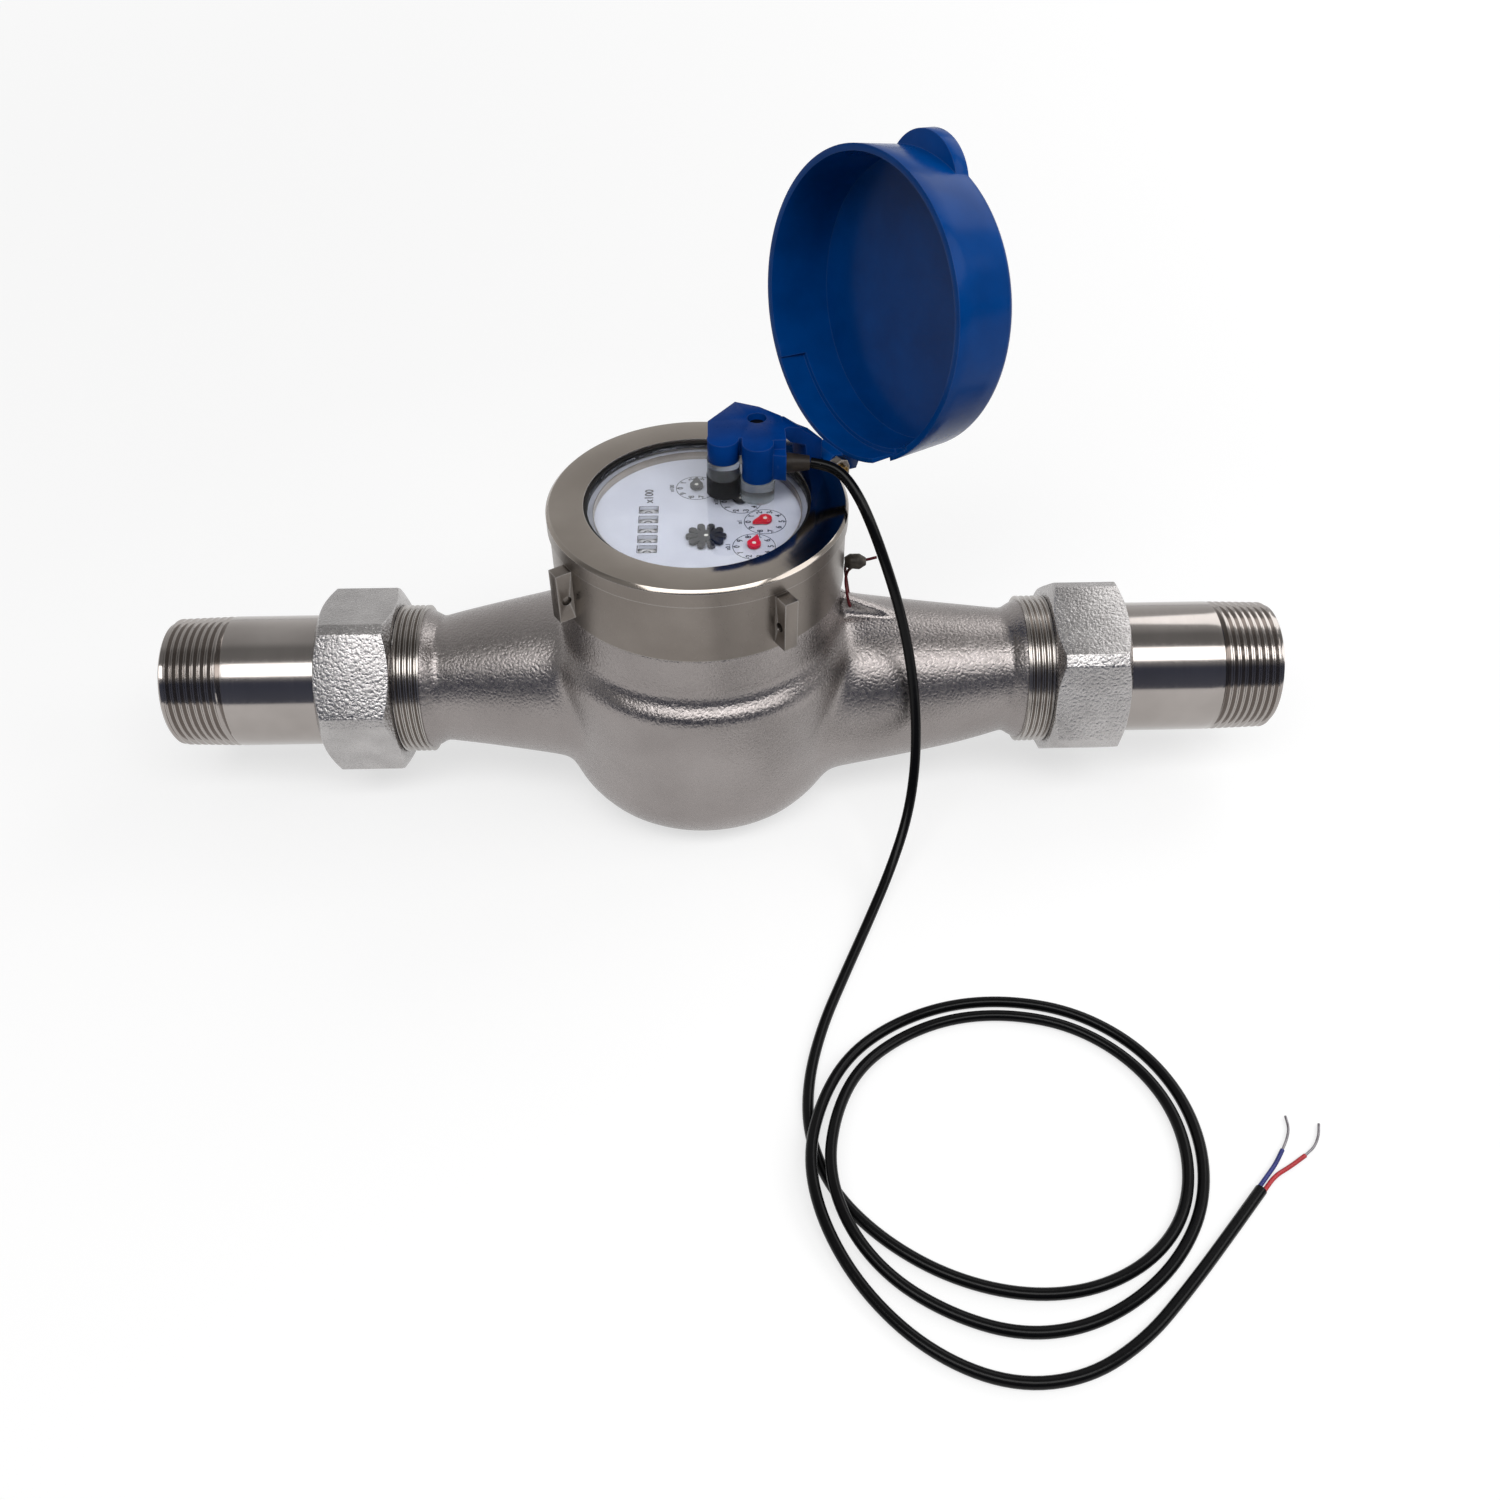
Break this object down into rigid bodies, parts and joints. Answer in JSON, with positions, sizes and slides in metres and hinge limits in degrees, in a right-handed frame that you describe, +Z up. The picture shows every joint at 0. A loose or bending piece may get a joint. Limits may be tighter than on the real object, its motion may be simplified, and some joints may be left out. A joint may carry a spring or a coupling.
{
  "type": "multi-jet water meter",
  "caption": "Multi-jet water meter with a cast stainless body, threaded union tailpieces, a hinged lid over a dry dial and a pulse sensor with a loose signal cable.",
  "frame": {"origin": "on the bowl axis, in the plane of the flat base the meter stands on", "axes": "+X along the pipe from the outlet tailpiece to the inlet tailpiece, +Y away from the viewer, +Z up along the bowl axis"},
  "size_m": [0.3557, 0.2952, 0.1961],
  "materials": {
    "cast_stainless": "bead blasted casting",
    "turned_stainless": "turned",
    "nut_stainless": "machined flats",
    "ring_stainless": "machined and polished",
    "blue_plastic": "gloss moulded",
    "brass": "plain",
    "clear_lens": "clear",
    "clear_plastic": "clear",
    "black_rubber": "matt",
    "grey_plastic": "moulded",
    "white_dial": "printed",
    "white_plastic": "moulded",
    "chamber_plastic": "moulded",
    "steel": "ground",
    "magnet": "sintered",
    "red_plastic": "moulded",
    "dark_plastic": "moulded",
    "number_plastic": "moulded",
    "reed_glass": "clear",
    "black_jacket": "extruded",
    "blue_jacket": "extruded",
    "tinned_copper": "bare strands",
    "copper_wire": "twisted",
    "lead": "pressed"
  },
  "bodies": {
    "base": {"meter_body": "cast_stainless", "outlet_tailpiece": "turned_stainless", "inlet_tailpiece": "turned_stainless", "cap_ring": "ring_stainless", "union_gaskets": "black_rubber", "lens_gasket": "black_rubber", "body_o_ring": "black_rubber", "sensor_foot": "black_rubber", "cable_grommet": "black_rubber", "sensor_housing": "blue_plastic", "hinge_pin": "brass", "pressure_plate": "brass", "lens": "clear_lens", "sensor_sleeve": "clear_plastic", "sensor_socket": "clear_plastic", "register_case": "grey_plastic", "counter_bracket": "grey_plastic", "dial_plate": "white_dial", "lower_train_plate": "white_plastic", "upper_train_plate": "white_plastic", "measuring_chamber": "chamber_plastic", "chamber_cover": "chamber_plastic", "strainer": "chamber_plastic", "impeller_pivot": "steel", "number_shaft": "steel", "sensor_screw": "steel", "red_core": "red_plastic", "reed_capsule": "reed_glass", "signal_cable": "black_jacket", "blue_core": "blue_jacket", "bare_strands": "tinned_copper", "seal_wire": "copper_wire", "lead_seal": "lead"},
    "lid": {"lid": "blue_plastic"},
    "outlet_nut": {"outlet_nut": "nut_stainless"},
    "inlet_nut": {"inlet_nut": "nut_stainless"},
    "impeller": {"impeller": "chamber_plastic", "drive_magnet": "magnet"},
    "magnet_wheel": {"magnet_wheel": "white_plastic", "driven_magnet": "magnet"},
    "star": {"star_arbor": "white_plastic", "star_wheel": "dark_plastic"},
    "intermediate_wheel_1": {"intermediate_wheel_1": "white_plastic"},
    "pointer_1": {"pointer_wheel_1": "white_plastic", "pointer_1": "red_plastic"},
    "intermediate_wheel_2": {"intermediate_wheel_2": "white_plastic"},
    "pointer_2": {"pointer_wheel_2": "white_plastic", "pointer_2": "red_plastic"},
    "intermediate_wheel_3": {"intermediate_wheel_3": "white_plastic"},
    "pointer_3": {"pointer_wheel_3": "white_plastic", "pointer_3": "dark_plastic"},
    "intermediate_wheel_4": {"intermediate_wheel_4": "white_plastic"},
    "pointer_4": {"pointer_wheel_4": "white_plastic", "pointer_4": "dark_plastic"},
    "number_wheel_1": {"number_wheel_1": "number_plastic"},
    "number_wheel_2": {"number_wheel_2": "number_plastic"},
    "number_wheel_3": {"number_wheel_3": "number_plastic"},
    "number_wheel_4": {"number_wheel_4": "number_plastic"},
    "number_wheel_5": {"number_wheel_5": "number_plastic"},
    "transfer_pinions": {"transfer_pinions": "white_plastic"}
  },
  "joints": [
    {"name": "lid_hinge", "type": "hinge", "parent": "base", "child": "lid", "pos_m": [0.03968, 0.02518, 0.104], "axis": [-0.5358, 0.8443, 0], "range_deg": [-98, 0]},
    {"name": "outlet_nut_turn", "type": "hinge", "parent": "base", "child": "outlet_nut", "pos_m": [-0.108, 0, 0.038], "axis": [1, 0, 0], "continuous": true},
    {"name": "inlet_nut_turn", "type": "hinge", "parent": "base", "child": "inlet_nut", "pos_m": [0.122, 0, 0.038], "axis": [1, 0, 0], "continuous": true},
    {"name": "impeller_spin", "type": "hinge", "parent": "base", "child": "impeller", "pos_m": [0, 0, 0.03], "axis": [0, 0, 1], "continuous": true},
    {"name": "magnet_wheel_spin", "type": "hinge", "parent": "base", "child": "magnet_wheel", "pos_m": [0, 0, 0.084], "axis": [0, 0, 1], "continuous": true},
    {"name": "star_spin", "type": "hinge", "parent": "base", "child": "star", "pos_m": [0.0025, -0.0119, 0.084], "axis": [0, 0, 1], "continuous": true},
    {"name": "intermediate_1_spin", "type": "hinge", "parent": "base", "child": "intermediate_wheel_1", "pos_m": [0.00973, -0.01403, 0.088], "axis": [0, 0, 1], "continuous": true},
    {"name": "pointer_1_spin", "type": "hinge", "parent": "base", "child": "pointer_1", "pos_m": [0.0164, -0.016, 0.09], "axis": [0, 0, 1], "continuous": true},
    {"name": "intermediate_2_spin", "type": "hinge", "parent": "base", "child": "intermediate_wheel_2", "pos_m": [0.01827, -0.00955, 0.088], "axis": [0, 0, 1], "continuous": true},
    {"name": "pointer_2_spin", "type": "hinge", "parent": "base", "child": "pointer_2", "pos_m": [0.02, -0.0036, 0.09], "axis": [0, 0, 1], "continuous": true},
    {"name": "intermediate_3_spin", "type": "hinge", "parent": "base", "child": "intermediate_wheel_3", "pos_m": [0.01636, 0.00196, 0.088], "axis": [0, 0, 1], "continuous": true},
    {"name": "pointer_3_spin", "type": "hinge", "parent": "base", "child": "pointer_3", "pos_m": [0.013, 0.0071, 0.09], "axis": [0, 0, 1], "continuous": true},
    {"name": "intermediate_4_spin", "type": "hinge", "parent": "base", "child": "intermediate_wheel_4", "pos_m": [0.00603, 0.01105, 0.088], "axis": [0, 0, 1], "continuous": true},
    {"name": "pointer_4_spin", "type": "hinge", "parent": "base", "child": "pointer_4", "pos_m": [-0.0004, 0.0147, 0.09], "axis": [0, 0, 1], "continuous": true},
    {"name": "number_1_spin", "type": "hinge", "parent": "base", "child": "number_wheel_1", "pos_m": [-0.0147, -0.0166, 0.0923], "axis": [0, 1, 0], "continuous": true},
    {"name": "number_2_spin", "type": "hinge", "parent": "base", "child": "number_wheel_2", "pos_m": [-0.0147, -0.0116, 0.0923], "axis": [0, 1, 0], "continuous": true},
    {"name": "number_3_spin", "type": "hinge", "parent": "base", "child": "number_wheel_3", "pos_m": [-0.0147, -0.0066, 0.0923], "axis": [0, 1, 0], "continuous": true},
    {"name": "number_4_spin", "type": "hinge", "parent": "base", "child": "number_wheel_4", "pos_m": [-0.0147, -0.0016, 0.0923], "axis": [0, 1, 0], "continuous": true},
    {"name": "number_5_spin", "type": "hinge", "parent": "base", "child": "number_wheel_5", "pos_m": [-0.0147, 0.0034, 0.0923], "axis": [0, 1, 0], "continuous": true},
    {"name": "transfer_spin", "type": "hinge", "parent": "base", "child": "transfer_pinions", "pos_m": [-0.0147, -0.0066, 0.0853], "axis": [0, 1, 0], "continuous": true}
  ],
  "couplings": [
    {"joint": "magnet_wheel_spin", "follows": "impeller_spin", "ratio": 1},
    {"joint": "star_spin", "follows": "impeller_spin", "ratio": -1},
    {"joint": "intermediate_1_spin", "follows": "impeller_spin", "ratio": 0.3},
    {"joint": "pointer_1_spin", "follows": "impeller_spin", "ratio": -0.1},
    {"joint": "intermediate_2_spin", "follows": "impeller_spin", "ratio": 0.03},
    {"joint": "pointer_2_spin", "follows": "impeller_spin", "ratio": -0.01},
    {"joint": "intermediate_3_spin", "follows": "impeller_spin", "ratio": 0.003},
    {"joint": "pointer_3_spin", "follows": "impeller_spin", "ratio": -0.001},
    {"joint": "intermediate_4_spin", "follows": "impeller_spin", "ratio": 0.0003},
    {"joint": "pointer_4_spin", "follows": "impeller_spin", "ratio": -0.0001},
    {"joint": "number_1_spin", "follows": "impeller_spin", "ratio": 0.000000001},
    {"joint": "number_2_spin", "follows": "impeller_spin", "ratio": 0.00000001},
    {"joint": "number_3_spin", "follows": "impeller_spin", "ratio": 0.0000001},
    {"joint": "number_4_spin", "follows": "impeller_spin", "ratio": 0.000001},
    {"joint": "number_5_spin", "follows": "impeller_spin", "ratio": 0.00001},
    {"joint": "transfer_spin", "follows": "impeller_spin", "ratio": -0.0000025}
  ]
}
